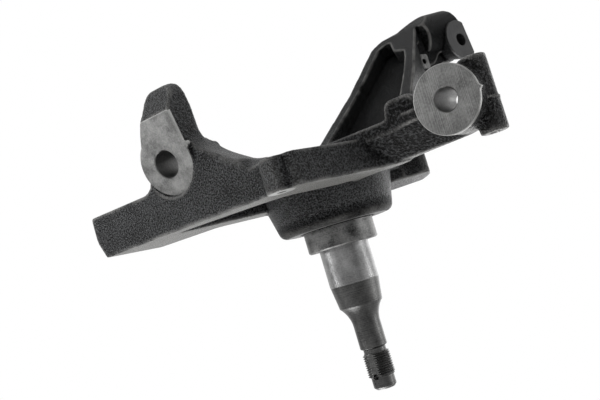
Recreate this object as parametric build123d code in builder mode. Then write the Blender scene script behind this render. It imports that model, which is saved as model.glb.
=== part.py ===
from build123d import *
import os
from math import cos, radians, sin, sqrt, tan

# Steering knuckle: one iron casting with its spindle.
# Frame: +Y points outboard along the spindle, +Z up, +X toward the steering arm.
# The origin is on the spindle axis, in the shoulder that the inner wheel bearing seats on.
# Distances named "in" are millimetres inboard of that shoulder.

# Spindle, outboard of the shoulder
INNER_JOURNAL_D = 34.99
INNER_JOURNAL_LENGTH = 26.3
WAIST_LENGTH = 15.5
WAIST_END_D = 30.4
BLEND_RADIUS = 20.4
OUTER_JOURNAL_D = 19.05
OUTER_JOURNAL_LENGTH = 16.2
RELIEF_D = 15.7
RELIEF_LENGTH = 3.8
THREAD_D = 19.05
THREAD_LENGTH = 16.7
PILOT_D = 16.0
PILOT_LENGTH = 8.3
PILOT_CHAMFER = 1.6
THREAD_CHAMFER = 0.8
KEY_FLAT_DEPTH = 1.1
COTTER_HOLE_D = 4.0
COTTER_FROM_END = 1.0

# Seal collar and hub
COLLAR_D = 49.5
COLLAR_LENGTH = 15.0
COLLAR_CHAMFER = 1.0
HUB_D = 80.0
HUB_LENGTH = 32.0
HUB_DRAFT = 13.0
HUB_ROUND = 5.0

# Upright: a web with a thicker beam along its foot
RIM_IN = 36.0
WEB_THICKNESS = 20.0
BEAM_THICKNESS = 28.5
BEAM_FRONT_X = 25.0
FOOT_Z = -113.0
FOOT_FRONT_X = 57.0
WEB_FRONT_X = 76.0
HUB_PAD_D = 96.0
HUB_PAD_BACK_IN = 60.0
TOP_Z = 134.0
TOP_REAR_X = -24.0
BLOCK_FRONT_X = 43.0
BLOCK_FRONT_Z = 77.0
POCKET_DEPTH = 9.0

# Caliper ears
CALIPER_X = -97.0
CALIPER_LOWER_Z = -86.0
CALIPER_UPPER_Z = 50.0
CALIPER_EAR_R = 18.0
CALIPER_UPPER_THICKNESS = 19.0
CALIPER_END_X = -119.0
CALIPER_END_SLANT = 10.0
SPOT_FACE_D = 32.0
SPOT_FACE_PROUD = 1.5
CALIPER_TAP_D = 12.5
CALIPER_TAP_DEPTH = 24.0

# Lower ball-joint ear
KINGPIN_TILT = 14.5
BALL_X = -32.0
BALL_IN = 76.5
BALL_FACE_Z = -115.0
BALL_DISC_D = 40.6
BALL_BORE_D = 17.6
BALL_TAPER = 4.0
EAR_DRAFT = 7.0
EAR_HEIGHT = 22.0
EAR_NECK = 29.5
EAR_END = 44.5
EAR_END_RISE = 15.0
EAR_RIGHT = 19.5
NUT_SEAT_D = 34.0
EAR_ROOT_HEIGHT = 44.0
EAR_ROOT_IN = 96.0

# Steering arm, tie-rod boss and steering stop
TIE_ROD_X = 133.7
TIE_ROD_IN = 57.0
TIE_ROD_FACE_Z = -68.0
TIE_ROD_HEIGHT = 25.0
TIE_ROD_D = 39.0
TIE_ROD_BORE_D = 13.6
TIE_ROD_TAPER = 4.0
STEER_THICKNESS = 23.5
ARM_UNDER_Z = -60.0
ARM_TOP_Z = -32.0
LUG_X = 101.0
LUG_IN = 70.5
LUG_HEIGHT = 16.0
STOP_X = 147.5
STOP_Z = -50.0
STOP_D = 15.6
STOP_IN_START = 33.0
STOP_IN_END = 77.0
STOP_HOLE_D = 5.0
STOP_HOLE_DEPTH = 12.0

# Upper arm and pinch clamp
ARM_REAR_X = -32.0
ARM_FOOT_FRONT_X = 46.0
ARM_TIP_FRONT_X = 14.0
ARM_ROOT_IN = 78.0
ARM_ROOT_Z = 53.0
ARM_BEND_IN = 125.5
ARM_BEND_Z = 129.0
ARM_TIP_IN = 176.0
ARM_TIP_Z = 198.0
ARM_THICKNESS = 40.0
ARM_RIM = 9.0
ARM_POCKET_DEPTH = 14.0
ARM_TOP_IN = 184.0
BARREL_IN = 194.0
BOLT_IN = 155.0
BOLT_Z = 232.0
BOLT_D = 12.0
CLAMP_FACE_D = 37.5
CLAMP_FACE_X = 38.5
CLAMP_BOSS_D = 27.0
CLAMP_BOSS_DRAFT = 17.0
CLAMP_WIDTH = 46.0
CLAMP_TILT = 16.0
CLAMP_LEAN = 8.7
CLAMP_TOP_RISE = 11.0
CLAMP_DEPTH = 48.0
SEAT_REACH = 20.0
STUD_BACK = 22.0
STUD_OFFSET = 15.5
STUD_CLAMP_D = 39.0
STUD_BORE_D = 20.0
STUD_BORE_DEPTH = 34.0
SLIT_WIDTH = 4.0
SLIT_LENGTH = 60.0
WEB_BACK = 12.0
HEAD_WEB_THICKNESS = 14.0

# Screw pads for the dust shield and the brake hose
SHIELD_TAP_D = 5.0
SHIELD_TAP_DEPTH = 14.0
SHIELD_LOWER = (42.5, -110.5)
SHIELD_UPPER = (-12.0, 92.0)
SHIELD_BOSS_R = 8.5
HOSE_PAD_AT = (14.5, -46.0)
HOSE_PAD_SIZE = (13.5, 11.5)
HOSE_PAD_PROUD = 1.5
HOSE_TAP_D = 5.0
HOSE_TAP_DEPTH = 12.0

# Reach of the cuts that run clear of the part
CLEARANCE = 400.0

os.makedirs("parts", exist_ok=True)

# Spindle and hub, one turned profile about the Y axis
collar_start = -COLLAR_LENGTH
waist_start = INNER_JOURNAL_LENGTH
blend_start = waist_start + WAIST_LENGTH
waist_end_r = WAIST_END_D / 2
outer_r = OUTER_JOURNAL_D / 2
blend_length = sqrt(BLEND_RADIUS**2 - (BLEND_RADIUS + outer_r - waist_end_r) ** 2)
outer_start = blend_start + blend_length
relief_start = outer_start + OUTER_JOURNAL_LENGTH
thread_start = relief_start + RELIEF_LENGTH
thread_end = thread_start + THREAD_LENGTH
spindle_end = thread_end + PILOT_LENGTH
hub_root = collar_start - HUB_LENGTH
hub_r = HUB_D / 2
hub_root_r = hub_r + HUB_LENGTH * tan(radians(HUB_DRAFT))

with BuildPart() as spindle:
    with BuildSketch(Plane.XY):
        with BuildLine():
            Polyline(
                (0, spindle_end),
                (0, hub_root),
                (hub_root_r, hub_root),
                (hub_r, collar_start),
                (COLLAR_D / 2, collar_start),
                (COLLAR_D / 2, 0),
                (INNER_JOURNAL_D / 2, 0),
                (INNER_JOURNAL_D / 2, waist_start),
                (waist_end_r, blend_start),
            )
            RadiusArc((waist_end_r, blend_start), (outer_r, outer_start), BLEND_RADIUS)
            Polyline(
                (outer_r, outer_start),
                (outer_r, relief_start),
                (RELIEF_D / 2, relief_start + THREAD_CHAMFER),
                (RELIEF_D / 2, thread_start - THREAD_CHAMFER),
                (THREAD_D / 2, thread_start),
                (THREAD_D / 2, thread_end - THREAD_CHAMFER),
                (PILOT_D / 2, thread_end),
                (PILOT_D / 2, spindle_end - PILOT_CHAMFER),
                (PILOT_D / 2 - PILOT_CHAMFER, spindle_end),
                (0, spindle_end),
            )
        make_face()
        hub_rim = vertices().sort_by_distance((hub_r, collar_start, 0))[0]
        fillet(hub_rim, HUB_ROUND)
        collar_rims = vertices().filter_by(lambda v: abs(v.X - COLLAR_D / 2) < 0.01 and abs(v.Y) < 0.01)
        chamfer(collar_rims, COLLAR_CHAMFER)
    revolve(axis=Axis.Y)

# Upright: a web with the foot beam behind it and a pocket round the hub
rim_plane = Plane.XZ.offset(RIM_IN)
beam_back_y = -(RIM_IN + BEAM_THICKNESS)
web_outline = [
    (CALIPER_END_X + 5, FOOT_Z),
    (CALIPER_END_X, FOOT_Z + 8),
    (CALIPER_END_X + 3, FOOT_Z + 51),
    (-60, FOOT_Z + 57),
    (-42, -12),
    (TOP_REAR_X - 20, 100),
    (TOP_REAR_X, TOP_Z),
    (8, TOP_Z),
    (BLOCK_FRONT_X - 14, BLOCK_FRONT_Z + 28),
    (BLOCK_FRONT_X, BLOCK_FRONT_Z),
    (22, BLOCK_FRONT_Z - 6),
    (38, 14),
    (48, -16),
    (WEB_FRONT_X + 12, ARM_TOP_Z - 2),
    (WEB_FRONT_X + 8, -44),
    (WEB_FRONT_X - 2, -52),
    (FOOT_FRONT_X + 5, -92),
    (FOOT_FRONT_X, FOOT_Z),
]
web_corners = [4, 4, 12, 14, 40, 8, 8, 8, 6, 5, 14, 20, 10, 3, 4, 12, 20, 5]
beam_outline = [
    (CALIPER_END_X + 5, FOOT_Z),
    (CALIPER_END_X, FOOT_Z + 8),
    (CALIPER_END_X + 3, FOOT_Z + 51),
    (-60, FOOT_Z + 59),
    (-30, -46),
    (10, -56),
    (BEAM_FRONT_X, FOOT_Z),
]
beam_corners = [4, 4, 12, 14, 12, 12, 8]
pocket_outline = [
    (-52, -101),
    (12, FOOT_Z + 22),
    (27, FOOT_Z + 29),
    (40, -46),
    (68, -33),
    (WEB_FRONT_X + 20, -25),
    (WEB_FRONT_X + 20, 20),
    (36, BLOCK_FRONT_Z - 8),
    (8, BLOCK_FRONT_Z - 14),
    (-9, 40),
    (-27, -35),
]
pocket_corners = [2, 20, 10, 14, 10, 4, 4, 4, 6, 6, 20]

with BuildPart() as upright:
    with BuildSketch(rim_plane):
        with BuildLine():
            FilletPolyline(*web_outline, radius=web_corners, close=True)
        make_face()
    extrude(amount=WEB_THICKNESS)
    with BuildSketch(rim_plane):
        with BuildLine():
            FilletPolyline(*beam_outline, radius=beam_corners, close=True)
        make_face()
    extrude(amount=BEAM_THICKNESS)
    with BuildSketch(Plane.XY.offset(FOOT_Z)):
        with BuildLine():
            Polyline(
                (CALIPER_END_X + CALIPER_END_SLANT, -RIM_IN),
                (CALIPER_END_X, beam_back_y + 6),
                (CALIPER_END_X + 5, beam_back_y),
                (CALIPER_END_X - 5, beam_back_y),
                (CALIPER_END_X - 5, -RIM_IN),
                close=True,
            )
        make_face()
    extrude(amount=80, mode=Mode.SUBTRACT)
    with BuildSketch(rim_plane):
        with BuildLine():
            FilletPolyline(*pocket_outline, radius=pocket_corners, close=True)
        make_face()
    extrude(amount=POCKET_DEPTH, mode=Mode.SUBTRACT)
    with BuildSketch(Plane.XZ.offset(RIM_IN + POCKET_DEPTH)):
        Circle(HUB_PAD_D / 2)
    extrude(amount=HUB_PAD_BACK_IN - RIM_IN - POCKET_DEPTH)
    with BuildSketch(rim_plane):
        with Locations(SHIELD_LOWER):
            Circle(SHIELD_BOSS_R)
    extrude(amount=WEB_THICKNESS)

# Upper caliper ear
with BuildPart() as caliper_ear:
    with BuildSketch(Plane.XZ.offset(RIM_IN + BEAM_THICKNESS - CALIPER_UPPER_THICKNESS)):
        with BuildLine():
            FilletPolyline(
                (-20, CALIPER_UPPER_Z - 40),
                (-52, CALIPER_UPPER_Z - 30),
                (CALIPER_X, CALIPER_UPPER_Z - CALIPER_EAR_R),
                (CALIPER_X - CALIPER_EAR_R, CALIPER_UPPER_Z - CALIPER_EAR_R),
                (CALIPER_X - CALIPER_EAR_R, CALIPER_UPPER_Z + CALIPER_EAR_R),
                (CALIPER_X, CALIPER_UPPER_Z + CALIPER_EAR_R),
                (-40, CALIPER_UPPER_Z + 34),
                (-20, CALIPER_UPPER_Z + 50),
                radius=[2, 10, 8, 16, 16, 10, 14, 2],
                close=True,
            )
        make_face()
    extrude(amount=CALIPER_UPPER_THICKNESS)

# Lower ball-joint ear: it leans with the kingpin axis, on a root that grows out of the foot
tilt = radians(KINGPIN_TILT)
ball_centre = (BALL_X, -BALL_IN, BALL_FACE_Z)
ear_plane = Plane(origin=ball_centre, x_dir=(1, 0, 0), z_dir=(0, -sin(tilt), cos(tilt)))
ear_side_plane = Plane(origin=ball_centre, x_dir=(0, cos(tilt), sin(tilt)), z_dir=(1, 0, 0))
with BuildPart() as lower_ear:
    with BuildSketch(Plane.XY.offset(FOOT_Z)):
        with BuildLine():
            FilletPolyline(
                (BALL_X - 42, beam_back_y + 12),
                (BALL_X - 42, beam_back_y),
                (BALL_X - 20, beam_back_y),
                (BALL_X - 14, -EAR_ROOT_IN),
                (BALL_X + 14, -EAR_ROOT_IN),
                (BALL_X + 25, -80),
                (BALL_X + 56, beam_back_y + 6),
                (BALL_X + 56, beam_back_y + 12),
                radius=[1, 1, 12, 4, 4, 30, 1, 1],
                close=True,
            )
        make_face()
    extrude(amount=EAR_ROOT_HEIGHT, taper=EAR_DRAFT)
    with BuildSketch(Plane.YZ):
        with BuildLine():
            Polyline(
                (-RIM_IN - 2, FOOT_Z),
                (-EAR_ROOT_IN, FOOT_Z),
                (-EAR_ROOT_IN, FOOT_Z + EAR_HEIGHT),
                (beam_back_y - 6, FOOT_Z + EAR_ROOT_HEIGHT - 6),
                (beam_back_y + 6, FOOT_Z + EAR_ROOT_HEIGHT),
                (-RIM_IN - 2, FOOT_Z + EAR_ROOT_HEIGHT),
                close=True,
            )
        make_face()
    extrude(amount=150, both=True, mode=Mode.INTERSECT)
    with BuildSketch(ear_plane):
        with BuildLine():
            FilletPolyline(
                (-BALL_DISC_D / 2, 4),
                (-BALL_DISC_D / 2, -4),
                (-9.5, -EAR_NECK + 7),
                (-5, -EAR_NECK),
                (-5, -EAR_END),
                (EAR_RIGHT, -EAR_END),
                (EAR_RIGHT, -8),
                (BALL_DISC_D / 2, -2),
                (BALL_DISC_D / 2, 4),
                radius=[2, 6, 10, 6, 5, 9, 6, 4, 2],
                close=True,
            )
        make_face()
    extrude(amount=EAR_HEIGHT)
    with BuildSketch(ear_plane):
        Circle(BALL_DISC_D / 2)
    extrude(amount=EAR_HEIGHT)
    with BuildSketch(ear_side_plane):
        with BuildLine():
            Polyline(
                (-EAR_NECK, 0),
                (-EAR_END, EAR_END_RISE),
                (-EAR_END - 10, EAR_END_RISE),
                (-EAR_END - 10, -10),
                (-EAR_NECK, -10),
                close=True,
            )
        make_face()
    extrude(amount=BALL_DISC_D, both=True, mode=Mode.SUBTRACT)

# Steering arm with its tie-rod boss and the steering stop
with BuildPart() as steering_arm:
    with BuildSketch(Plane.XZ.offset(RIM_IN + 1)):
        with BuildLine():
            Polyline(
                (38, ARM_UNDER_Z),
                (96, ARM_UNDER_Z),
                (TIE_ROD_X - 8, TIE_ROD_FACE_Z + 2),
                (TIE_ROD_X, TIE_ROD_FACE_Z + TIE_ROD_HEIGHT),
                (WEB_FRONT_X + 8, ARM_TOP_Z),
                (38, ARM_TOP_Z + 12),
                close=True,
            )
        make_face()
    extrude(amount=STEER_THICKNESS)
    with BuildSketch(Plane.YZ):
        with BuildLine():
            Polyline(
                (-RIM_IN, ARM_TOP_Z - 12),
                (-RIM_IN, ARM_UNDER_Z - 20),
                (-RIM_IN - 17, ARM_UNDER_Z - 20),
                (-RIM_IN - 17, ARM_UNDER_Z),
                close=True,
            )
        make_face()
    extrude(amount=TIE_ROD_X, mode=Mode.SUBTRACT)
    with BuildSketch(Plane.XY.offset(ARM_UNDER_Z)):
        with BuildLine():
            FilletPolyline(
                (LUG_X - 11, -LUG_IN + 12),
                (LUG_X - 9, -LUG_IN),
                (LUG_X + 9, -LUG_IN),
                (LUG_X + 14, -LUG_IN + 12),
                radius=[1, 5, 5, 1],
                close=True,
            )
        make_face()
    extrude(amount=LUG_HEIGHT)
    with BuildSketch(Plane.XY.offset(TIE_ROD_FACE_Z)):
        with Locations((TIE_ROD_X, -TIE_ROD_IN)):
            Circle(TIE_ROD_D / 2)
    extrude(amount=TIE_ROD_HEIGHT)
    with BuildSketch(Plane.XZ.offset(STOP_IN_START)):
        with Locations((STOP_X, STOP_Z)):
            Circle(STOP_D / 2)
    extrude(amount=STOP_IN_END - STOP_IN_START)

# Clamp head: it has a plane on its bolt face, one on its web and one on its top
clamp_axis = Vector(cos(radians(CLAMP_TILT)), 0, -sin(radians(CLAMP_TILT)))
rise_axis = Vector(sin(radians(CLAMP_TILT)), 0, cos(radians(CLAMP_TILT)))
outboard_axis = Vector(0, 1, 0)
stud_axis = rise_axis * cos(radians(CLAMP_LEAN)) - outboard_axis * sin(radians(CLAMP_LEAN))
bolt_centre = Vector(CLAMP_FACE_X, -BOLT_IN, BOLT_Z)
bolt_plane = Plane(origin=bolt_centre, x_dir=(0, 1, 0), z_dir=-clamp_axis)
web_plane = Plane(origin=bolt_centre - clamp_axis * WEB_BACK, x_dir=(0, 1, 0), z_dir=clamp_axis)
top_plane = Plane(origin=bolt_centre + stud_axis * CLAMP_TOP_RISE, x_dir=clamp_axis, z_dir=stud_axis)
seat_centre = bolt_centre - clamp_axis * CLAMP_WIDTH
seat_foot = seat_centre - rise_axis * SEAT_REACH
seat_top = seat_centre + rise_axis * SEAT_REACH

# Upper arm: its side view, trimmed to its front view, with a ribbed pocket in its underside
arm_slope = Vector(0, ARM_ROOT_IN - ARM_TIP_IN, ARM_TIP_Z - ARM_ROOT_Z).normalized()
arm_outward = Vector(0, arm_slope.Z, -arm_slope.Y)
arm_root = Vector(0, -ARM_ROOT_IN, ARM_ROOT_Z)
root_back = arm_root - arm_slope * 40
front_knee = arm_root + arm_slope * 60 + arm_outward * ARM_THICKNESS
block_back_y = -RIM_IN - WEB_THICKNESS
with BuildPart() as upper_arm:
    with BuildSketch(Plane.YZ):
        with BuildLine():
            Polyline(
                (block_back_y + 1, 10),
                (root_back.Y, root_back.Z),
                (-ARM_BEND_IN, ARM_BEND_Z),
                (-ARM_TIP_IN, ARM_TIP_Z),
                (-ARM_TOP_IN, ARM_TIP_Z + 24),
                (-ARM_TOP_IN, BOLT_Z + 40),
                (-BOLT_IN + 8, BOLT_Z + 40),
                (-BOLT_IN + 16, BOLT_Z - 8),
                (front_knee.Y, front_knee.Z),
                (block_back_y + 1, TOP_Z - 14),
                close=True,
            )
        make_face()
    extrude(amount=80, both=True)
    with BuildSketch(Plane.XZ):
        with BuildLine():
            Polyline(
                (ARM_REAR_X - 6, 0),
                (ARM_REAR_X, ARM_TIP_Z - 8),
                (ARM_REAR_X + ARM_RIM + 3, ARM_TIP_Z + 6),
                (seat_foot.X, seat_foot.Z),
                (seat_top.X, seat_top.Z),
                (ARM_TIP_FRONT_X + 10, BOLT_Z + 40),
                (ARM_TIP_FRONT_X, ARM_TIP_Z),
                (ARM_FOOT_FRONT_X, BLOCK_FRONT_Z),
                (ARM_FOOT_FRONT_X - 20, 0),
                close=True,
            )
        make_face()
    extrude(amount=300, mode=Mode.INTERSECT)
    # Pocket in the underside
    with BuildSketch(Plane(origin=arm_root, x_dir=(1, 0, 0), z_dir=-arm_outward)):
        with BuildLine():
            FilletPolyline(
                (ARM_REAR_X + ARM_RIM - 3, -20),
                (ARM_REAR_X + ARM_RIM + 1, 160),
                (-13, 168),
                (-2, 142),
                (11, 134),
                (15.7, 118),
                (31, 40),
                (36, -20),
                radius=[4, 5, 5, 8, 5, 20, 30, 4],
                close=True,
            )
        make_face()
    extrude(amount=-ARM_POCKET_DEPTH, mode=Mode.SUBTRACT)
    # Recess behind the front rail, where the clamp's web stands
    with BuildSketch(web_plane):
        with BuildLine():
            FilletPolyline(
                (-15, -20),
                (-3, -46),
                (2, -58),
                (60, -58),
                (60, 60),
                (-15, 60),
                radius=[4, 4, 4, 4, 4, 4],
                close=True,
            )
        make_face()
    extrude(amount=CLEARANCE, mode=Mode.SUBTRACT)

# Clamp barrel, bolt boss and the web that ties them to the arm
with BuildPart() as clamp_head:
    with BuildSketch(top_plane):
        with Locations((-STUD_BACK, -STUD_OFFSET)):
            Circle(STUD_CLAMP_D / 2)
    extrude(amount=-CLAMP_DEPTH)
    with BuildSketch(Plane.YZ):
        with BuildLine():
            Polyline(
                (-ARM_TIP_IN, ARM_TIP_Z),
                (-BARREL_IN, ARM_TIP_Z + 30),
                (-BARREL_IN, BOLT_Z + 40),
                (-100, BOLT_Z + 40),
                (-100, ARM_TIP_Z - 50),
                (-ARM_TIP_IN + 30, ARM_TIP_Z - 44),
                close=True,
            )
        make_face()
    extrude(amount=80, both=True, mode=Mode.INTERSECT)
    with BuildSketch(bolt_plane):
        Circle(CLAMP_FACE_D / 2)
    extrude(amount=(CLAMP_FACE_D - CLAMP_BOSS_D) / 2 / tan(radians(CLAMP_BOSS_DRAFT)), taper=CLAMP_BOSS_DRAFT)
    with BuildSketch(bolt_plane):
        Circle(CLAMP_BOSS_D / 2)
    extrude(amount=CLAMP_WIDTH)
    with BuildSketch(web_plane):
        with BuildLine():
            FilletPolyline(
                (-11.5, 12),
                (-11.5, -42),
                (12, -62),
                (26, -78),
                (22, -48),
                (16, -29),
                (7, -20),
                (2, 12),
                radius=[1, 4, 4, 2, 10, 8, 8, 1],
                close=True,
            )
        make_face()
    extrude(amount=-HEAD_WEB_THICKNESS)
    with BuildSketch(web_plane):
        with Locations(HOSE_PAD_AT):
            RectangleRounded(*HOSE_PAD_SIZE, 2)
    extrude(amount=HOSE_PAD_PROUD)

with BuildPart() as knuckle:
    add(upright.part)
    add(caliper_ear.part)
    add(lower_ear.part)
    add(steering_arm.part)
    add(upper_arm.part)
    add(clamp_head.part)
    add(spindle.part)
    with BuildSketch(top_plane):
        Rectangle(CLEARANCE, CLEARANCE)
    extrude(amount=CLEARANCE, mode=Mode.SUBTRACT)

    # Ball-joint face, its tapered bore and its nut seat
    with BuildSketch(ear_plane):
        Circle(BALL_DISC_D / 2)
    extrude(amount=-EAR_HEIGHT, mode=Mode.SUBTRACT)
    with BuildSketch(ear_plane):
        Circle(BALL_BORE_D / 2)
    extrude(amount=EAR_HEIGHT, taper=BALL_TAPER, mode=Mode.SUBTRACT)
    with BuildSketch(ear_plane.offset(EAR_HEIGHT)):
        Circle(NUT_SEAT_D / 2)
    extrude(amount=EAR_ROOT_HEIGHT, mode=Mode.SUBTRACT)

    # Tapered tie-rod bore with its nut seat
    with BuildSketch(Plane.XY.offset(TIE_ROD_FACE_Z)):
        with Locations((TIE_ROD_X, -TIE_ROD_IN)):
            Circle(TIE_ROD_BORE_D / 2)
    extrude(amount=TIE_ROD_HEIGHT, taper=TIE_ROD_TAPER, mode=Mode.SUBTRACT)
    with BuildSketch(Plane.XY.offset(TIE_ROD_FACE_Z + TIE_ROD_HEIGHT)):
        with Locations((TIE_ROD_X, -TIE_ROD_IN)):
            Circle(NUT_SEAT_D / 2)
    extrude(amount=TIE_ROD_HEIGHT, mode=Mode.SUBTRACT)

    # Upper ball-joint clamp: blind stud bore, slit, pinch-bolt hole
    with BuildSketch(top_plane):
        with Locations((-STUD_BACK, -STUD_OFFSET)):
            Circle(STUD_BORE_D / 2)
    extrude(amount=-STUD_BORE_DEPTH, mode=Mode.SUBTRACT)
    with BuildSketch(top_plane):
        with Locations((-STUD_BACK, -STUD_OFFSET + SLIT_LENGTH / 2)):
            Rectangle(SLIT_WIDTH, SLIT_LENGTH)
    extrude(amount=-STUD_BORE_DEPTH, mode=Mode.SUBTRACT)
    with BuildSketch(bolt_plane):
        Circle(BOLT_D / 2)
    extrude(amount=CLAMP_WIDTH + 20, mode=Mode.SUBTRACT)

    # Caliper spot faces and their blind tapped holes, entered from inboard
    for caliper_z in (CALIPER_LOWER_Z, CALIPER_UPPER_Z):
        with BuildSketch(Plane.XZ.offset(RIM_IN + BEAM_THICKNESS)):
            with Locations((CALIPER_X, caliper_z)):
                Circle(SPOT_FACE_D / 2)
        extrude(amount=SPOT_FACE_PROUD)
        with BuildSketch(Plane.XZ.offset(RIM_IN + BEAM_THICKNESS + SPOT_FACE_PROUD)):
            with Locations((CALIPER_X, caliper_z)):
                Circle(CALIPER_TAP_D / 2)
        extrude(amount=-CALIPER_TAP_DEPTH, mode=Mode.SUBTRACT)

    # Dust-shield screw holes
    with BuildSketch(rim_plane):
        with Locations(SHIELD_LOWER, SHIELD_UPPER):
            Circle(SHIELD_TAP_D / 2)
    extrude(amount=SHIELD_TAP_DEPTH, mode=Mode.SUBTRACT)

    # Brake-hose bracket hole
    with BuildSketch(web_plane.offset(HOSE_PAD_PROUD)):
        with Locations(HOSE_PAD_AT):
            Circle(HOSE_TAP_D / 2)
    extrude(amount=-HOSE_TAP_DEPTH, mode=Mode.SUBTRACT)

    # Hole in the outboard end of the steering stop
    with BuildSketch(Plane.XZ.offset(STOP_IN_START)):
        with Locations((STOP_X, STOP_Z)):
            Circle(STOP_HOLE_D / 2)
    extrude(amount=STOP_HOLE_DEPTH, mode=Mode.SUBTRACT)

    # Flat along the thread for the keyed washer, and the cotter hole
    with BuildSketch(Plane.XZ.offset(-spindle_end)):
        with Locations((0, -THREAD_D / 2)):
            Rectangle(THREAD_D, 2 * KEY_FLAT_DEPTH)
    extrude(amount=spindle_end - thread_start, mode=Mode.SUBTRACT)
    with BuildSketch(Plane.XY.offset(-THREAD_D)):
        with Locations((0, thread_end - COTTER_FROM_END)):
            Circle(COTTER_HOLE_D / 2)
    extrude(amount=2 * THREAD_D, mode=Mode.SUBTRACT)

knuckle.part.label = "steering_knuckle"
export_step(knuckle.part, "parts/steering_knuckle.step")
print("solids", len(knuckle.part.solids()), "volume", round(knuckle.part.volume))
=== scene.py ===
from math import atan2, cos, pi, radians, sin, sqrt, tan

import bmesh
import bpy
import numpy as np
from mathutils import Matrix, Vector


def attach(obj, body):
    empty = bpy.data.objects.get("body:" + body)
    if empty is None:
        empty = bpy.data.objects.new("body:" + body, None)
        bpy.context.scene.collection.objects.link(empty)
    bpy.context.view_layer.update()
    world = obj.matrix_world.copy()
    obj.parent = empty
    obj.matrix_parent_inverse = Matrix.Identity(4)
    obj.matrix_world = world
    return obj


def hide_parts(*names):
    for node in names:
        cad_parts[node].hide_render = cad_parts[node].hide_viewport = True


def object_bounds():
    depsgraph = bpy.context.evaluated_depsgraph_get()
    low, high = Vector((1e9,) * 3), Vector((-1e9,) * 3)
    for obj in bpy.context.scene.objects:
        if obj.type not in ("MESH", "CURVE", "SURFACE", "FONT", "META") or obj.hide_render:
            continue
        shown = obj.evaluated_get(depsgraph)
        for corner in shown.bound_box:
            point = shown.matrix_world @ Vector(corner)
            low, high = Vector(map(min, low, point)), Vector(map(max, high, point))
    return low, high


MM = 0.001
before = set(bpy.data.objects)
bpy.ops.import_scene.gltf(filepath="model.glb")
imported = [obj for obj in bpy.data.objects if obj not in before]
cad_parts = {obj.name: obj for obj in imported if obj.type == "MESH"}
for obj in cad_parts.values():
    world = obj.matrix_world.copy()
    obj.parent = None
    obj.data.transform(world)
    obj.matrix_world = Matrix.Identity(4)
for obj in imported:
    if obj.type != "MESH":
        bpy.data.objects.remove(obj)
cad_low, cad_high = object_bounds()

# Sizes of the casting and its turned spindle, in millimetres from the bearing shoulder
INNER_JOURNAL_D, INNER_JOURNAL_LENGTH = 34.99, 26.3
WAIST_LENGTH, WAIST_END_D, BLEND_RADIUS = 15.5, 30.4, 20.4
OUTER_JOURNAL_D, OUTER_JOURNAL_LENGTH = 19.05, 16.2
RELIEF_D, RELIEF_LENGTH = 15.7, 3.8
THREAD_D, THREAD_LENGTH, THREAD_PITCH = 19.05, 16.7, 25.4 / 16
PILOT_D, PILOT_LENGTH, PILOT_CHAMFER = 16.0, 8.3, 1.6
COLLAR_D, COLLAR_LENGTH, COLLAR_CHAMFER, HUB_FACE_R = 49.5, 15.0, 1.0, 35.2
KEY_FLAT_DEPTH, COTTER_D, COTTER_FROM_END = 1.1, 4.0, 1.0
BALL_JOINT, KINGPIN_TILT = (-32.0, -76.5, -115.0), 14.5
BALL_DISC_R, BALL_BORE_R, EAR_HEIGHT = 20.3, 8.8, 22.0
EAR_NECK, EAR_LEFT, EAR_RIGHT = 29.5, -5.0, 19.5
EAR_FLANK, EAR_ROOT_END = (-12.0, -85.0, -97.0), (16.0, -64.0, -101.0)
TIE_ROD = (133.7, -57.0, -68.0)
TIE_ROD_R, TIE_ROD_BORE_R, TIE_ROD_HEIGHT = 19.5, 6.8, 25.0
NUT_SEAT_R = 17.0
STUD_TAPER = 4.0
BOLT_CENTRE = (38.5, -155.0, 232.0)
CLAMP_TILT, CLAMP_LEAN = 16.0, 8.7
CLAMP_FACE_R, CLAMP_WIDTH, CLAMP_TOP_RISE, BOLT_R = 18.75, 46.0, 11.0, 6.0
STUD_BACK, STUD_OFFSET = 22.0, 15.5
CALIPER_BOLTS = ((-97.0, -66.0, -86.0), (-97.0, -66.0, 50.0))
SPOT_FACE_R, CALIPER_TAP_R, CALIPER_TAP_DEPTH, CALIPER_UPPER_THICKNESS = 16.0, 6.25, 24.0, 19.0
SHIELD_SCREWS = ((42.5, -36.0, -110.5), (-12.0, -36.0, 92.0))
WEB_BACK, HOSE_PAD_AT, HOSE_PAD_SIZE, HOSE_PAD_PROUD = 12.0, (14.5, -46.0), (13.5, 11.5), 1.5
STOP_HOLE = (147.5, -33.0, -50.0)
SCREW_TAP_R, SHIELD_BOSS_R = 2.5, 8.5
SHIELD_HOLE_DEPTH, SCREW_HOLE_DEPTH = 14, 12
PAD_CORNER = 2.0

# Cast wall behind a machined wall, the band of it that moves, and cast surface under a milled face
BEHIND_WALL, WALL_BAND, SUNK = 0.5, 1.8, 0.35
# Parting line round the steering stop: a ridge, and a step from one mould half to the other
PARTING_Y, STOP_R, STOP_FROM_X = -51.5, 9.5, 142
RIDGE_HEIGHT, RIDGE_WIDTH, STEP_HEIGHT, STEP_WIDTH = 0.75, 0.8, 0.35, 0.6
# Where the spindle is cut away, and where the hub and the upper arm have the deeper coat
TRIM_Y, TRIM_R = -14.2, 30
HUB_COAT_R, HUB_COAT_Y, ARM_COAT_Y, ARM_COAT_Z = 42, -35.4, -66.6, 45
# Voxel of the casting in metres, passes of smoothing, its triangles, and the angle of a sharp edge
VOXEL, CRISP_PASSES, CAST_PASSES, ROOT_PASSES = 0.0009, 2, 10, 160
CASTING_TRIANGLES, SHARP_ANGLE = 190000, 30

SHOULDER, OUTBOARD, INBOARD, UP = (0, 0, 0), (0, 1, 0), (0, -1, 0), (0, 0, 1)

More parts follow.
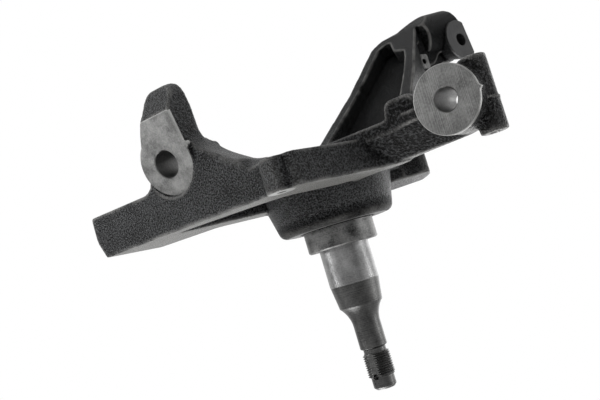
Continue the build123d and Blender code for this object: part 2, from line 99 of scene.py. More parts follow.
clamp_axis = Vector((cos(radians(CLAMP_TILT)), 0, -sin(radians(CLAMP_TILT))))
rise_axis = Vector((sin(radians(CLAMP_TILT)), 0, cos(radians(CLAMP_TILT))))
outboard_axis = Vector(OUTBOARD)
stud_axis = rise_axis * cos(radians(CLAMP_LEAN)) - outboard_axis * sin(radians(CLAMP_LEAN))
kingpin_axis = Vector((0, -sin(radians(KINGPIN_TILT)), cos(radians(KINGPIN_TILT))))
ear_neck = Vector(BALL_JOINT) + Vector((7, -18, -4.7))


class Sock:
    """A socket that takes part in sums, so a mask reads as an expression."""

    def __init__(self, shader, socket):
        self.shader = shader
        self.socket = socket

    def maths(self, operation, *others, swap=False):
        values = [self, *others]
        if swap:
            values.reverse()
        return self.shader.node("ShaderNodeMath", dict(operation=operation), dict(enumerate(values)))

    def __add__(self, other):
        return self.maths("ADD", other)

    def __sub__(self, other):
        return self.maths("SUBTRACT", other)

    def __rsub__(self, other):
        return self.maths("SUBTRACT", other, swap=True)

    def __mul__(self, other):
        return self.maths("MULTIPLY", other)

    __radd__ = __add__
    __rmul__ = __mul__

    def clamped(self):
        return self.maths("MAXIMUM", 0.0).maths("MINIMUM", 1.0)


class Finish:
    """One material: every node is made by node(), and sums on its sockets add Math nodes."""

    def __init__(self, name):
        self.material = bpy.data.materials.new(name)
        self.material.use_nodes = True
        self.nodes = self.material.node_tree.nodes
        self.links = self.material.node_tree.links
        self.surface = self.nodes["Principled BSDF"]
        self.place = self.node("ShaderNodeTexCoord", {}, {}, "Object")

    def node(self, kind, settings, inputs, output=0):
        made = self.nodes.new(kind)
        for name, value in settings.items():
            setattr(made, name, value)
        for name, value in inputs.items():
            self.feed(made.inputs[name], value)
        return Sock(self, made.outputs[output])

    def feed(self, target, value):
        if isinstance(value, Sock):
            self.links.new(value.socket, target)
        elif isinstance(value, tuple) and len(value) == 3 and target.type == "RGBA":
            target.default_value = (*value, 1)
        else:
            target.default_value = value

    def part(self, vector, axis):
        return self.node("ShaderNodeSeparateXYZ", {}, {"Vector": vector}, axis)

    def noise(self, scale, detail, rough):
        inputs = {"Vector": self.place, "Scale": scale, "Detail": detail, "Roughness": rough}
        return self.node("ShaderNodeTexNoise", {}, inputs, "Fac")

    def between(self, value, low, high):
        inputs = {"Value": value, "From Min": low, "From Max": high}
        return self.node("ShaderNodeMapRange", {}, inputs)

    def mix(self, factor, first, second):
        inputs = {"Factor": factor, 6: first, 7: second}
        return self.node("ShaderNodeMix", dict(data_type="RGBA"), inputs, 2)

    def bump(self, height, distance, strength, normal=None):
        inputs = {"Height": height, "Distance": distance, "Strength": strength}
        if normal:
            inputs["Normal"] = normal
        return self.node("ShaderNodeBump", {}, inputs, "Normal")

    def set(self, **values):
        for name, value in values.items():
            self.feed(self.surface.inputs[name.replace("_", " ")], value)


# Tones of the coated iron: black for the darkest coat and the painted shade in pits and hollows, full
# coat, a painted highlight on the rim faces and a painted highlight on the edges
COAT_AND_SHADE_BLACK, COAT_GREY = (0.0005, 0.0005, 0.0005), (0.106, 0.109, 0.112)
LIT_RIM_GREY, EDGE_HIGHLIGHT_GREY = (0.17, 0.168, 0.158), (0.23, 0.227, 0.22)
# Heights of the cast relief, the coat's grain and the cutter's marks, in metres
RELIEF_HEIGHT, GRAIN_HEIGHT, MARK_HEIGHT = 0.0032, 0.0004, 0.0002


def coated_iron(name, specular):
    """Cast iron under a thin dark coat. Places are in metres and noise scales are per metre."""
    finish = Finish(name)
    x, y, z = (finish.part(finish.place, axis) for axis in range(3))
    pebbles = finish.noise(1000, 2, 0.5)
    grain = finish.noise(1500, 2, 0.6)
    patches = finish.noise(60, 4, 0.6)
    drift = finish.noise(9, 2, 0.5)
    wrinkles = finish.noise(620, 2, 0.5)

    # Parts of the casting: the steering arm, the side of the hub and the upper arm
    steering_side = finish.between(x, 0.060, 0.090)
    hub_side = finish.between(x * x + z * z, 0.00176, 0.00164) * finish.between(y, -0.038, -0.034)
    arm_side = finish.between(z, 0.06, 0.09)

    # The coat wrinkles on the steering arm, and a little on the hub
    rippled = (steering_side + hub_side * 0.35).clamped()
    relief = pebbles + (wrinkles - 0.5) * rippled * 1.6
    # Painted highlight on the crests of the wrinkles
    painted_ridge_highlight = finish.between(wrinkles, 0.51, 0.62) * rippled
    # The tone follows the relief: painted shade in the pits of the pebbles and wrinkles and painted
    # light on their tops, with random patches and drift
    tone = finish.between(relief * 0.8 + patches * 0.13 + drift * 0.07, 0.42, 0.63)

    # Convex edges get a painted highlight, broken up in patches, and hollows get a painted shade
    pointiness = finish.node("ShaderNodeNewGeometry", {}, {}, "Pointiness")
    edge = finish.between(pointiness, 0.504, 0.522)
    # Painted shade in the hollows, darkest in the deepest creases
    hollow = finish.between(pointiness, 0.496, 0.465)

    # Painted highlight on the rim faces of the upright, which look outboard towards the outboard lamp
    normal = finish.node("ShaderNodeNewGeometry", {}, {}, "Normal")
    facing = finish.part(normal, 1)
    rim = finish.between(facing, 0.9, 0.97) * finish.between(y, -0.040, -0.0375) * (1 - hub_side)
    rim = rim * finish.between(z, 0.03, -0.01)

    # Painted shade: the steering arm, the side of the hub and the upper arm are darkened, as they face
    # away from the lamps
    painted_shade = 1 - steering_side * 0.95 - hub_side * 0.97 - arm_side * 0.7
    # Coat tone with the painted shade of the regions, the painted ridge highlight and the painted shade
    # in hollows
    coat_tone_and_shade = (tone * painted_shade + painted_ridge_highlight * 0.45).clamped() * (1 - hollow)
    dark = finish.mix(coat_tone_and_shade, COAT_AND_SHADE_BLACK, COAT_GREY)
    # Painted highlight on the outboard rim faces
    dark = finish.mix(rim * (0.3 + coat_tone_and_shade * 0.7), dark, LIT_RIM_GREY)
    # Painted highlight on the edges, broken up by the patches
    edge_highlit = finish.mix((edge * (patches - 0.3) * 2.6).clamped(), dark, EDGE_HIGHLIGHT_GREY)
    finish.set(Base_Color=edge_highlit, Roughness=0.26 + pebbles * 0.2, Specular_IOR_Level=specular)
    skin = finish.bump(relief * (1 - rim * 0.7), RELIEF_HEIGHT, 1.0)
    finish.set(Normal=finish.bump(grain, GRAIN_HEIGHT, 0.6, skin))
    return finish.material


def machined(name, bright, dark, rough, pitch, axis, streaks=0.35):
    """Cut metal, with tool marks a pitch in millimetres apart along one axis."""
    finish = Finish(name)
    lines = finish.node(
        "ShaderNodeTexNoise",
        dict(noise_dimensions="1D"),
        {"W": finish.part(finish.place, axis) * (1000 / pitch), "Scale": 1.0, "Detail": 2.0},
        "Fac",
    )
    fine = finish.noise(900, 3, 0.7)
    blotch = finish.noise(90, 4, 0.6)
    tone = finish.between(lines * streaks + fine * 0.3 + blotch * (0.7 - streaks), 0.36, 0.62)
    cut = finish.mix(tone, dark, bright)
    finish.set(Base_Color=cut, Metallic=0.9, Roughness=rough + blotch * 0.12)
    finish.set(Normal=finish.bump(lines * 0.7 + fine * 0.3, MARK_HEIGHT, 0.5))
    return finish.material


iron = coated_iron("coated_cast_iron", 0.15)
deep_iron = coated_iron("coated_cast_iron_deep", 0.03)
milled = machined("milled_face", (0.19, 0.19, 0.187), (0.05, 0.05, 0.049), 0.42, 0.45, 0, 0.31)
spotted = machined("spot_faced", (0.23, 0.23, 0.226), (0.06, 0.06, 0.059), 0.46, 0.6, 0, 0.08)
cut_edge = machined("cut_edge", (0.36, 0.36, 0.352), (0.24, 0.24, 0.235), 0.40, 0.6, 0, 0.08)
ground = machined("ground_journal", (0.28, 0.28, 0.28), (0.11, 0.11, 0.11), 0.28, 0.35, 1, 0.2)
collar_turned = machined(
    "turned_collar", (0.22, 0.22, 0.217), (0.012, 0.012, 0.012), 0.40, 0.5, 1, 0.15
)
turned = machined("turned_satin", (0.10, 0.10, 0.098), (0.025, 0.025, 0.025), 0.34, 0.45, 1)
bored = machined("bored_hole", (0.18, 0.18, 0.175), (0.08, 0.08, 0.08), 0.35, 0.4, 2)
faced = machined("coated_face", (0.075, 0.075, 0.075), (0.035, 0.035, 0.036), 0.48, 0.6, 2)


def as_piece(name, mesh, *materials, sharp=None):
    piece = bpy.data.objects.new(name, mesh)
    bpy.context.scene.collection.objects.link(piece)
    for material in materials:
        mesh.materials.append(material)
    mesh.shade_smooth()
    if sharp:
        mesh.set_sharp_from_angle(angle=radians(sharp))
    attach(piece, "root")
    return piece


def applied(piece, **modifiers):
    """The piece's mesh with these modifiers worked in."""
    for kind, settings in modifiers.items():
        modifier = piece.modifiers.new(kind, kind)
        for name, value in settings.items():
            setattr(modifier, name, value)
    graph = bpy.context.evaluated_depsgraph_get()
    mesh = bpy.data.meshes.new_from_object(piece.evaluated_get(graph))
    old = piece.data
    piece.modifiers.clear()
    piece.data = mesh
    bpy.data.meshes.remove(old)
    return mesh


def upright_basis(axis):
    axis = Vector(axis).normalized()
    side = Vector(OUTBOARD) if abs(axis.y) < 0.9 else Vector((1, 0, 0))
    across = axis.cross(side).normalized()
    return axis, across, axis.cross(across)


class Turned:
    """Surfaces of revolution in one mesh. Each ring is a radius and a distance along the axis."""

    def __init__(self):
        self.bm = bmesh.new()

    def lathe(self, origin, axis, rings, material=0, around=96, radius_at=None):
        axis, across, along = upright_basis(axis)
        origin = Vector(origin)
        loops = []
        for radius, distance in rings:
            loop = []
            for step in range(around):
                turn = 2 * pi * step / around
                r = radius_at(radius, distance, turn) if radius_at else radius
                point = origin + axis * distance + (across * cos(turn) + along * sin(turn)) * r
                loop.append(self.bm.verts.new(point * MM))
            loops.append(loop)
        for first, second in zip(loops, loops[1:]):
            for step in range(around):
                after = (step + 1) % around
                face = self.bm.faces.new((first[step], first[after], second[after], second[step]))
                face.material_index = material

    def piece(self, name, *materials):
        bmesh.ops.recalc_face_normals(self.bm, faces=self.bm.faces)
        mesh = bpy.data.meshes.new(name)
        self.bm.to_mesh(mesh)
        self.bm.free()
        as_piece(name, mesh, *materials, sharp=SHARP_ANGLE)


# Casting: the CAD body with its cast edges rounded, less the spindle
casting_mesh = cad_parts["steering_knuckle"].data.copy()
weld = bmesh.new()
weld.from_mesh(casting_mesh)
bmesh.ops.remove_doubles(weld, verts=weld.verts, dist=1e-6)
weld.to_mesh(casting_mesh)
weld.free()
casting_mesh.materials.clear()
casting = as_piece("casting", casting_mesh, iron)
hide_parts("steering_knuckle")
skin = applied(casting, REMESH=dict(mode="VOXEL", voxel_size=VOXEL))


def coordinates(mesh):
    flat = np.empty(len(mesh.vertices) * 3, np.float32)
    mesh.vertices.foreach_get("co", flat)
    return flat.reshape(-1, 3) / MM


def near_cylinder(points, place, axis, radius, low, high, soft=1.5):
    """1 inside a cylinder about an axis, falling to 0 over a soft margin."""
    axis = np.array(Vector(axis).normalized())
    offset = points - np.array(place)
    along = offset @ axis
    across = np.linalg.norm(offset - np.outer(along, axis), axis=1)
    outside = np.maximum.reduce([across - radius, low - along, along - high])
    return np.clip(1 - outside / soft, 0, 1)


# Machined places keep their sharp edges, and the cast surface between them is rounded. Each place is
# a centre, an axis, a radius and the two ends along the axis
skin = applied(casting, SMOOTH=dict(factor=0.5, iterations=CRISP_PASSES))
crisp = coordinates(skin)
skin = applied(casting, SMOOTH=dict(factor=0.5, iterations=CAST_PASSES))
soft = coordinates(skin)
stud_top = Vector(BOLT_CENTRE) + stud_axis * CLAMP_TOP_RISE
stud_across = stud_axis.cross(clamp_axis)
stud_centre = stud_top - clamp_axis * STUD_BACK - stud_across * STUD_OFFSET
machined_places = [
    (BALL_JOINT, kingpin_axis, BALL_DISC_R + 1.5, -5.0, 2.0),
    (BALL_JOINT, kingpin_axis, NUT_SEAT_R + 1, EAR_HEIGHT - 2, EAR_HEIGHT + 40),
    (BALL_JOINT, kingpin_axis, BALL_BORE_R + 2, -2, EAR_HEIGHT + 2),
    (ear_neck, kingpin_axis, 17.0, -2.5, 2.0),
    (TIE_ROD, UP, TIE_ROD_R + 1.5, -3.0, 2.5),
    (TIE_ROD, UP, NUT_SEAT_R + 1, TIE_ROD_HEIGHT - 2, TIE_ROD_HEIGHT + 3),
    (TIE_ROD, UP, TIE_ROD_BORE_R + 2, -2, TIE_ROD_HEIGHT + 2),
    (BOLT_CENTRE, clamp_axis, CLAMP_FACE_R + 1.5, -2.5, 2.5),
    (BOLT_CENTRE, clamp_axis, BOLT_R + 2, -CLAMP_WIDTH - 2, 2.0),
    (stud_top, stud_axis, 60.0, -1.5, 2.5),
    (stud_centre, stud_axis, 13.0, -36.0, 2.0),
    (stud_centre + stud_across * 22, stud_axis, 8.0, -36.0, 2.0),
    (stud_centre + stud_across * 36, stud_axis, 8.0, -36.0, 2.0),
]
machined_places.append((SHIELD_SCREWS[0], OUTBOARD, 9.0, -16.0, 2.0))
machined_places += [(bolt, INBOARD, SPOT_FACE_R + 1, -3.0, 2.0) for bolt in CALIPER_BOLTS]
for screw in (*SHIELD_SCREWS, STOP_HOLE):
    machined_places.append((screw, OUTBOARD, SCREW_TAP_R + 1.5, -14.0, 2.0))
keep = np.zeros(len(crisp))
for place in machined_places:
    keep = np.maximum(keep, near_cylinder(crisp, *place))
points = soft + (crisp - soft) * keep[:, None]

# The ear's flank runs into the upright in one broad hollow
skin = applied(casting, SMOOTH=dict(factor=0.5, iterations=ROOT_PASSES))
flank = near_cylinder(crisp, EAR_FLANK, UP, 8.0, -8.0, 40.0, 14.0)
root_end = near_cylinder(crisp, EAR_ROOT_END, UP, 11.0, -12.0, 16.0, 9.0)
points += (coordinates(skin) - points) * (np.maximum(flank, root_end) * (1 - keep))[:, None]


def clear(points, place, axis, radius, low, high, taper=0.0):
    """Moves the cast wall of a bore or screw hole out behind its machined wall."""
    axis = np.array(Vector(axis).normalized())
    offset = points - np.array(place)
    along = offset @ axis
    radial = offset - np.outer(along, axis)
    across = np.linalg.norm(radial, axis=1)
    wall = radius - along * tan(radians(taper)) + BEHIND_WALL
    held = (along > low) & (along < high) & (across < wall) & (across > wall - WALL_BAND)
    points[held] += radial[held] * ((wall - across) / np.maximum(across, 0.1))[held, None]


def sink(points, place, axis, radius):
    """Moves the cast surface of a disc a little below its milled face."""
    axis = np.array(Vector(axis).normalized())
    offset = points - np.array(place)
    along = offset @ axis
    across = np.linalg.norm(offset - np.outer(along, axis), axis=1)
    held = (across < radius) & (np.abs(along) < 1.0)
    points[held] += np.outer((SUNK - along)[held], axis)


clear(points, BALL_JOINT, kingpin_axis, BALL_BORE_R, -1, EAR_HEIGHT + 1, STUD_TAPER)
clear(points, TIE_ROD, UP, TIE_ROD_BORE_R, -1, TIE_ROD_HEIGHT + 1, STUD_TAPER)
clear(points, BOLT_CENTRE, -clamp_axis, BOLT_R, -1, CLAMP_WIDTH + 1)
for bolt in CALIPER_BOLTS:
    clear(points, bolt, OUTBOARD, CALIPER_TAP_R, -1, CALIPER_TAP_DEPTH)
    sink(points, bolt, OUTBOARD, SPOT_FACE_R - 0.4)
sink(points, BALL_JOINT, kingpin_axis, BALL_DISC_R - 0.4)
sink(points, ear_neck, kingpin_axis, 11.5)
sink(points, TIE_ROD, UP, TIE_ROD_R - 0.4)
sink(points, BOLT_CENTRE, -clamp_axis, CLAMP_FACE_R - 0.4)

# Mould parting line round the steering stop
stop_offset = points - np.array(STOP_HOLE)
stop_reach = np.hypot(stop_offset[:, 0], stop_offset[:, 2])
on_stop = (stop_reach < STOP_R) & (points[:, 0] > STOP_FROM_X)
from_line = points[:, 1] - PARTING_Y
ridge = RIDGE_HEIGHT * np.exp(-((from_line / RIDGE_WIDTH) ** 2)) * on_stop
swell = STEP_HEIGHT / (1 + np.exp(-from_line / STEP_WIDTH)) * on_stop
push = (ridge + swell) / np.maximum(stop_reach, 1)
points[:, 0] += stop_offset[:, 0] * push
points[:, 2] += stop_offset[:, 2] * push
skin.vertices.foreach_set("co", (points * MM).astype(np.float32).ravel())

reach = np.hypot(points[:, 0], points[:, 2])
spindle_part = (points[:, 1] > TRIM_Y) & (reach < TRIM_R)
trim = bmesh.new()
trim.from_mesh(skin)
trim.verts.ensure_lookup_table()
bmesh.ops.delete(trim, geom=[trim.verts[i] for i in np.nonzero(spindle_part)[0]], context="VERTS")
trim.to_mesh(skin)
trim.free()
triangles = sum(len(p.vertices) - 2 for p in skin.polygons)
skin = applied(casting, DECIMATE=dict(ratio=min(1.0, CASTING_TRIANGLES / triangles)))
skin.shade_smooth()
skin.materials.clear()
skin.materials.append(iron)
skin.materials.append(deep_iron)
centres = np.empty(len(skin.polygons) * 3, np.float32)
skin.polygons.foreach_get("center", centres)
centres = centres.reshape(-1, 3) / MM
on_hub = (np.hypot(centres[:, 0], centres[:, 2]) < HUB_COAT_R) & (centres[:, 1] > HUB_COAT_Y)
on_arm = (centres[:, 1] < ARM_COAT_Y) & (centres[:, 2] > ARM_COAT_Z)
skin.polygons.foreach_set("material_index", (on_hub | on_arm).astype(np.int32))

# Spindle: turned from the collar outboard, with a helical thread and a keyway flat
waist_start = INNER_JOURNAL_LENGTH
blend_start = waist_start + WAIST_LENGTH
waist_end_r, outer_r = WAIST_END_D / 2, OUTER_JOURNAL_D / 2
blend_length = sqrt(BLEND_RADIUS**2 - (BLEND_RADIUS + outer_r - waist_end_r) ** 2)
outer_start = blend_start + blend_length
relief_start = outer_start + OUTER_JOURNAL_LENGTH
thread_start = relief_start + RELIEF_LENGTH
thread_end = thread_start + THREAD_LENGTH
spindle_end = thread_end + PILOT_LENGTH

# Material slots, in the order that spindle.piece gives them
HUB_RING, JOURNAL, SATIN, HOLE, COLLAR = range(5)
spindle = Turned()
collar_r, journal_r = COLLAR_D / 2, INNER_JOURNAL_D / 2
spindle.lathe(
    SHOULDER,
    OUTBOARD,
    [
        (collar_r, -COLLAR_LENGTH),
        (collar_r, -COLLAR_CHAMFER),
        (collar_r - COLLAR_CHAMFER, 0),
        (journal_r + 0.5, 0),
        (journal_r + 0.5, -0.5),
        (journal_r, -0.5),
    ],
    COLLAR,
)
hub_face = [
    (HUB_FACE_R + 0.3, -COLLAR_LENGTH - 0.4),
    (HUB_FACE_R, -COLLAR_LENGTH + 0.08),
    (collar_r + 0.6, -COLLAR_LENGTH + 0.08),
    (collar_r, -COLLAR_LENGTH + 0.5),
]
spindle.lathe(SHOULDER, OUTBOARD, hub_face, HUB_RING)
journal = [(journal_r, -0.5), (journal_r, waist_start - 0.4), (journal_r - 0.25, waist_start)]
spindle.lathe(SHOULDER, OUTBOARD, journal, JOURNAL)
blend = []
blend_steps = 16
for step in range(1, blend_steps + 1):
    y = blend_start + blend_length * step / blend_steps
    blend.append((outer_r + BLEND_RADIUS - sqrt(BLEND_RADIUS**2 - (outer_start - y) ** 2), y))
satin_rings = [(journal_r - 0.25, waist_start), (waist_end_r, blend_start), *blend]
satin_rings += [
    (outer_r, relief_start - 0.3),
    (outer_r - 0.3, relief_start),
    (RELIEF_D / 2, relief_start + 0.8),
    (RELIEF_D / 2, thread_start - 0.4),
]
spindle.lathe(SHOULDER, OUTBOARD, satin_rings, SATIN)
thread_steps, thread_overlap = 150, 0.4
thread_reach = THREAD_LENGTH + thread_overlap
thread_rings = [
    (THREAD_D / 2, thread_start - thread_overlap + thread_reach * step / thread_steps)
    for step in range(thread_steps + 1)
]
thread_depth = 0.61 * THREAD_PITCH
run_in_length, lead_length = 1.2, 0.8


def thread_radius(crest, y, turn):
    """Radius of a helical thread that grows out of the relief and fades at its outer end."""
    phase = (y / THREAD_PITCH - turn / (2 * pi)) % 1.0
    flank = min(1.0, max(0.0, abs(phase - 0.5) * 2 * 1.25 - 0.12))
    run_in = min(1.0, max(0.0, (y - thread_start + thread_overlap) / run_in_length))
    lead = min(1.0, max(0.0, (thread_end - y) / lead_length))
    height = (crest - thread_depth) + thread_depth * (1 - flank)
    low = RELIEF_D / 2
    return low + (height - low) * run_in * (0.35 + 0.65 * lead)


spindle.lathe(SHOULDER, OUTBOARD, thread_rings, SATIN, radius_at=thread_radius)
pilot_r = PILOT_D / 2
spindle.lathe(
    SHOULDER,
    OUTBOARD,
    [
        *((pilot_r, thread_end - 0.2 + 0.3 * step) for step in range(12)),
        (pilot_r, spindle_end - PILOT_CHAMFER),
        (pilot_r - PILOT_CHAMFER, spindle_end),
        (1.5, spindle_end),
        (0.05, spindle_end - 1.3),
    ],
    SATIN,
)
flat_z = -(THREAD_D / 2 - KEY_FLAT_DEPTH) * MM
for vert in spindle.bm.verts:
    if vert.co.y > (thread_start - 0.5) * MM and vert.co.z < flat_z:
        vert.co.z = flat_z

# Cotter hole across the thread's end
hole_y, hole_r = (thread_end - COTTER_FROM_END) * MM, COTTER_D / 2 * MM


def from_hole(point):
    return sqrt(point.x**2 + (point.y - hole_y) ** 2)


inside = [face for face in spindle.bm.faces if from_hole(face.calc_center_median()) < hole_r]
bmesh.ops.delete(spindle.bm, geom=inside, context="FACES")
for vert in spindle.bm.verts:
    away = from_hole(vert.co)
    if vert.is_boundary and 0 < away < hole_r * 1.4 and abs(vert.co.z) > 4 * MM:
        vert.co.x *= hole_r / away
        vert.co.y = hole_y + (vert.co.y - hole_y) * hole_r / away
hole_depth = THREAD_D / 2 - KEY_FLAT_DEPTH
spindle.lathe(
    (0, thread_end - COTTER_FROM_END, 0),
    UP,
    [
        (COTTER_D / 2 + 0.02, -hole_depth + 0.05),
        (COTTER_D / 2, -hole_depth + 0.4),
        (COTTER_D / 2, PILOT_D / 2 + 0.3),
    ],
    HOLE,
    around=40,
)
spindle.piece("turned_spindle", milled, ground, turned, bored, collar_turned)

# Machined faces and bores, each just proud of the casting. Their material slots are in the order that
# faces.piece gives them
MILLED, BORED, FACED, SPOTTED, EDGE = range(5)
faces = Turned()


def ear_outline(turn):
    """Distance from the ball joint's axis to the edge of its milled face."""
    x, y = -cos(turn), -sin(turn)
    reach = BALL_DISC_R
    edge = [
        (-BALL_DISC_R, -2.0),
        (-9.5, 7 - EAR_NECK),
        (EAR_LEFT, -EAR_NECK),
        (EAR_RIGHT, -EAR_NECK),
        (EAR_RIGHT, -6.0),
    ]
    for (x1, y1), (x2, y2) in zip(edge, edge[1:]):
        along_x, along_y = x2 - x1, y2 - y1
        cross = x * along_y - y * along_x
        if abs(cross) < 1e-9:
            continue
        distance = (x1 * along_y - y1 * along_x) / cross
        part = (x1 * y - y1 * x) / cross
        if distance > 0 and 0 <= part <= 1:
            reach = max(reach, distance)
    # A burr of flash stands out beside the face
    burr_at, burr_spread, burr_height = radians(-17), radians(6.5), 3.5
    burr = 1 - abs(atan2(y, x) - burr_at) / burr_spread
    return max(reach, BALL_DISC_R + burr_height * min(1.0, max(0.0, burr) * 1.6))


def tie_outline(turn):
    """Distance from the tie rod's axis to the edge of its milled face, with a small burr of flash."""
    burr_spread, burr_height = radians(5), 1.6
    burr = 1 - abs(atan2(-sin(turn), -cos(turn))) / burr_spread
    return TIE_ROD_R + burr_height * max(0.0, burr)


def stud_seat(place, axis, disc_r, bore_r, height, face, outline):
    """Milled face, tapered bore and nut seat of a tapered stud."""
    narrow = bore_r - height * tan(radians(STUD_TAPER))

    def edged(radius, distance, turn):
        return outline(turn) + radius - disc_r if radius > bore_r + 2 else radius

    edge = [(disc_r + 0.1, 2.2), (disc_r + 0.1, 0.25), (disc_r - 0.35, -0.06)]
    rim = [(disc_r - 0.35, -0.06), (bore_r + 0.5, -0.06)]
    bore = [
        (bore_r + 0.5, -0.06),
        (bore_r - 0.1, 0.5),
        (narrow - 0.1, height - 0.2),
        (narrow + 0.2, height + 0.06),
    ]
    nut_seat = [(narrow + 0.2, height + 0.06), (NUT_SEAT_R - 0.1, height + 0.06)]
    faces.lathe(place, axis, edge, EDGE, 180, edged)
    faces.lathe(place, axis, rim, face, 180, edged)
    faces.lathe(place, axis, bore, BORED)
    faces.lathe(place, axis, nut_seat, MILLED)


stud_seat(BALL_JOINT, kingpin_axis, BALL_DISC_R, BALL_BORE_R, EAR_HEIGHT, SPOTTED, ear_outline)
stud_seat(TIE_ROD, UP, TIE_ROD_R, TIE_ROD_BORE_R, TIE_ROD_HEIGHT, MILLED, tie_outline)


def blind_hole(place, axis, radius, depth):
    """Chamfer, wall and drilled cone of a tapped hole."""
    cone = radius * 0.6
    rings = [
        (radius + 0.5, 0.05),
        (radius - 0.05, -0.5),
        (radius - 0.05, -depth),
        (0.05, -depth - cone),
    ]
    faces.lathe(place, axis, rings, BORED, around=48)


spot_face = [
    (SPOT_FACE_R, -2),
    (SPOT_FACE_R, -0.2),
    (SPOT_FACE_R - 0.3, 0.05),
    (CALIPER_TAP_R + 0.5, 0.05),
]
for bolt in CALIPER_BOLTS:
    faces.lathe(bolt, INBOARD, spot_face, MILLED)
blind_hole(CALIPER_BOLTS[0], INBOARD, CALIPER_TAP_R, CALIPER_TAP_DEPTH)
tap_r, through = CALIPER_TAP_R - 0.05, CALIPER_UPPER_THICKNESS
tap_rings = [
    (tap_r + 0.5, 0.05),
    (tap_r, -0.5),
    (tap_r, 0.5 - through),
    (tap_r + 0.5, -through - 0.05),
]
faces.lathe(CALIPER_BOLTS[1], INBOARD, tap_rings, BORED)
for screw in SHIELD_SCREWS:
    blind_hole(screw, OUTBOARD, SCREW_TAP_R, SHIELD_HOLE_DEPTH)
shield_boss = [
    (SHIELD_BOSS_R - 0.3, -0.4),
    (SHIELD_BOSS_R - 0.6, 0.12),
    (SCREW_TAP_R + 0.5, 0.12),
]
faces.lathe(SHIELD_SCREWS[0], OUTBOARD, shield_boss, EDGE)
blind_hole(STOP_HOLE, OUTBOARD, SCREW_TAP_R, SCREW_HOLE_DEPTH)

# Pinch bolt's face and hole, cut level with the top of the clamp
bolt_rings = [
    (CLAMP_FACE_R + 0.1, -2.0),
    (CLAMP_FACE_R + 0.1, -0.2),
    (CLAMP_FACE_R - 0.3, 0.06),
    (BOLT_R + 0.4, 0.06),
    (BOLT_R - 0.05, -0.4),
    (BOLT_R - 0.05, -CLAMP_WIDTH),
]
before = len(faces.bm.verts)
faces.lathe(BOLT_CENTRE, clamp_axis, bolt_rings, FACED)
faces.bm.verts.ensure_lookup_table()
boss = faces.bm.verts[before:]
flat_at = (Vector(BOLT_CENTRE) + stud_axis * (CLAMP_TOP_RISE + 0.05)) * MM
for vert in boss:
    over = (vert.co - flat_at).dot(stud_axis)
    if over > 0:
        vert.co -= stud_axis * over

# Hose bracket pad
pad_origin = (
    Vector(BOLT_CENTRE)
    + clamp_axis * (HOSE_PAD_PROUD - WEB_BACK)
    + outboard_axis * HOSE_PAD_AT[0]
    + rise_axis * HOSE_PAD_AT[1]
)
pad_top = 0.06


def on_pad(x, y, height):
    point = pad_origin + clamp_axis * height + outboard_axis * x + rise_axis * y
    return faces.bm.verts.new(point * MM)


half_w, half_h = HOSE_PAD_SIZE[0] / 2, HOSE_PAD_SIZE[1] / 2
outline = []
for quarter, (sx, sy) in enumerate(((1, 1), (-1, 1), (-1, -1), (1, -1))):
    for step in range(7):
        turn = radians(90 * quarter + 15 * step)
        x = sx * (half_w - PAD_CORNER) + PAD_CORNER * cos(turn)
        y = sy * (half_h - PAD_CORNER) + PAD_CORNER * sin(turn)
        outline.append((x, y))
loops = []
for height, inset in ((-HOSE_PAD_PROUD - 1, 0.0), (-0.15, 0.0), (pad_top, 0.2)):
    across_x, across_y = (half_w - inset) / half_w, (half_h - inset) / half_h
    loops.append([on_pad(x * across_x, y * across_y, height) for x, y in outline])
rim_r, corners = SCREW_TAP_R + 0.5, len(outline)
turns = [2 * pi * (step + 0.5) / corners for step in range(corners)]
loops.append([on_pad(cos(turn) * rim_r, sin(turn) * rim_r, pad_top) for turn in turns])
for first, second in zip(loops, loops[1:]):
    for step in range(corners):
        after = (step + 1) % corners
        faces.bm.faces.new((first[step], first[after], second[after], second[step]))
blind_hole(pad_origin, clamp_axis, SCREW_TAP_R, SCREW_HOLE_DEPTH)
faces.piece("machined_faces", milled, bored, faced, spotted, cut_edge)

# Camera: a 48 mm lens at the photograph's angle, below and in front of the casting
lens = bpy.data.cameras.new("camera")
lens.lens = 48
lens.sensor_width = 36
lens.clip_start = 0.01
camera = bpy.data.objects.new("camera", lens)
bpy.context.scene.collection.objects.link(camera)
right = Vector((0.77060, 0.28285, 0.57102))
down = Vector((-0.28249, 0.95487, -0.09174))
forward = Vector((-0.57122, -0.09063, 0.81577))
eye = Vector((303.7, 11.5, -468.8)) * MM
stand = Matrix((right, -down, -forward)).transposed().to_4x4()
stand.translation = eye
camera.matrix_world = stand
bpy.context.scene.camera = camera

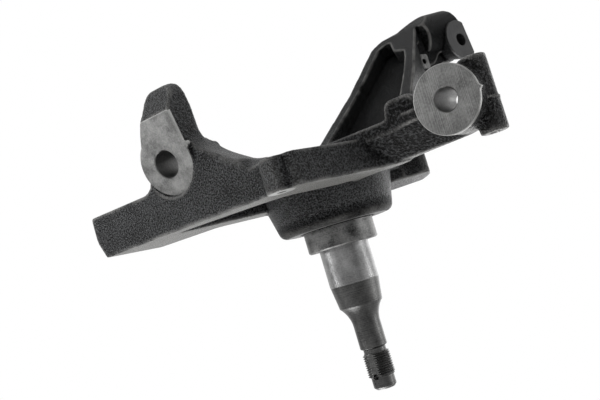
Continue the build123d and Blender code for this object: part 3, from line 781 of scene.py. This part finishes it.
# White room: pale floor well below, soft lamps and a plain world
floor_mesh = bpy.data.meshes.new("floor")
side, level = 6.0, -0.75
floor_corners = [(-side, -side, level), (side, -side, level), (side, side, level), (-side, side, level)]
floor_mesh.from_pydata(floor_corners, [], [(0, 1, 2, 3)])
floor = bpy.data.objects.new("floor", floor_mesh)
bpy.context.scene.collection.objects.link(floor)
paper = Finish("white_floor")
paper.set(Base_Color=(0.9, 0.9, 0.9), Roughness=0.9, Specular_IOR_Level=0.1)
floor_mesh.materials.append(paper.material)


def lamp(name, place, target, size, power):
    """A soft round lamp that looks at its target."""
    light = bpy.data.lights.new(name, "AREA")
    light.shape = "DISK"
    light.size = size
    light.energy = power
    made = bpy.data.objects.new(name, light)
    bpy.context.scene.collection.objects.link(made)
    place = Vector(place)
    made.location = place
    made.rotation_euler = (place - target).to_track_quat("Z", "Y").to_euler()


middle = (cad_low + cad_high) / 2
lamp("left_strip", middle - right * 1.2 - forward * 0.1, middle, 0.45, 14)
lamp("right_strip", middle + right * 1.2 - forward * 0.1, middle, 0.45, 4)
lamp("outboard_strip", middle + down * 1.3 + forward * 0.2, middle, 0.7, 15)
lamp("inboard_strip", middle - down * 1.2 - forward * 0.1, middle, 0.8, 2)
lamp("overhead", (0, 0, 1.6), middle, 1.5, 9)

# The camera and reflections see the room at full strength, and everything else gets its fill light
fill = 0.32
world = bpy.data.worlds.new("white_room")
bpy.context.scene.world = world
world.use_nodes = True
nodes, links = world.node_tree.nodes, world.node_tree.links
room = nodes["Background"]
room.inputs["Color"].default_value = (1, 1, 1, 1)
path = nodes.new("ShaderNodeLightPath")
seen = nodes.new("ShaderNodeMath")
seen.operation = "MAXIMUM"
links.new(path.outputs["Is Camera Ray"], seen.inputs[0])
links.new(path.outputs["Is Glossy Ray"], seen.inputs[1])
also = nodes.new("ShaderNodeMath")
also.operation = "MAXIMUM"
links.new(seen.outputs[0], also.inputs[0])
links.new(path.outputs["Is Transmission Ray"], also.inputs[1])
strength = nodes.new("ShaderNodeMapRange")
strength.inputs["To Min"].default_value = fill
strength.inputs["To Max"].default_value = 1.0
links.new(also.outputs[0], strength.inputs["Value"])
links.new(strength.outputs[0], room.inputs["Strength"])

bpy.context.scene.view_settings.view_transform = "Standard"
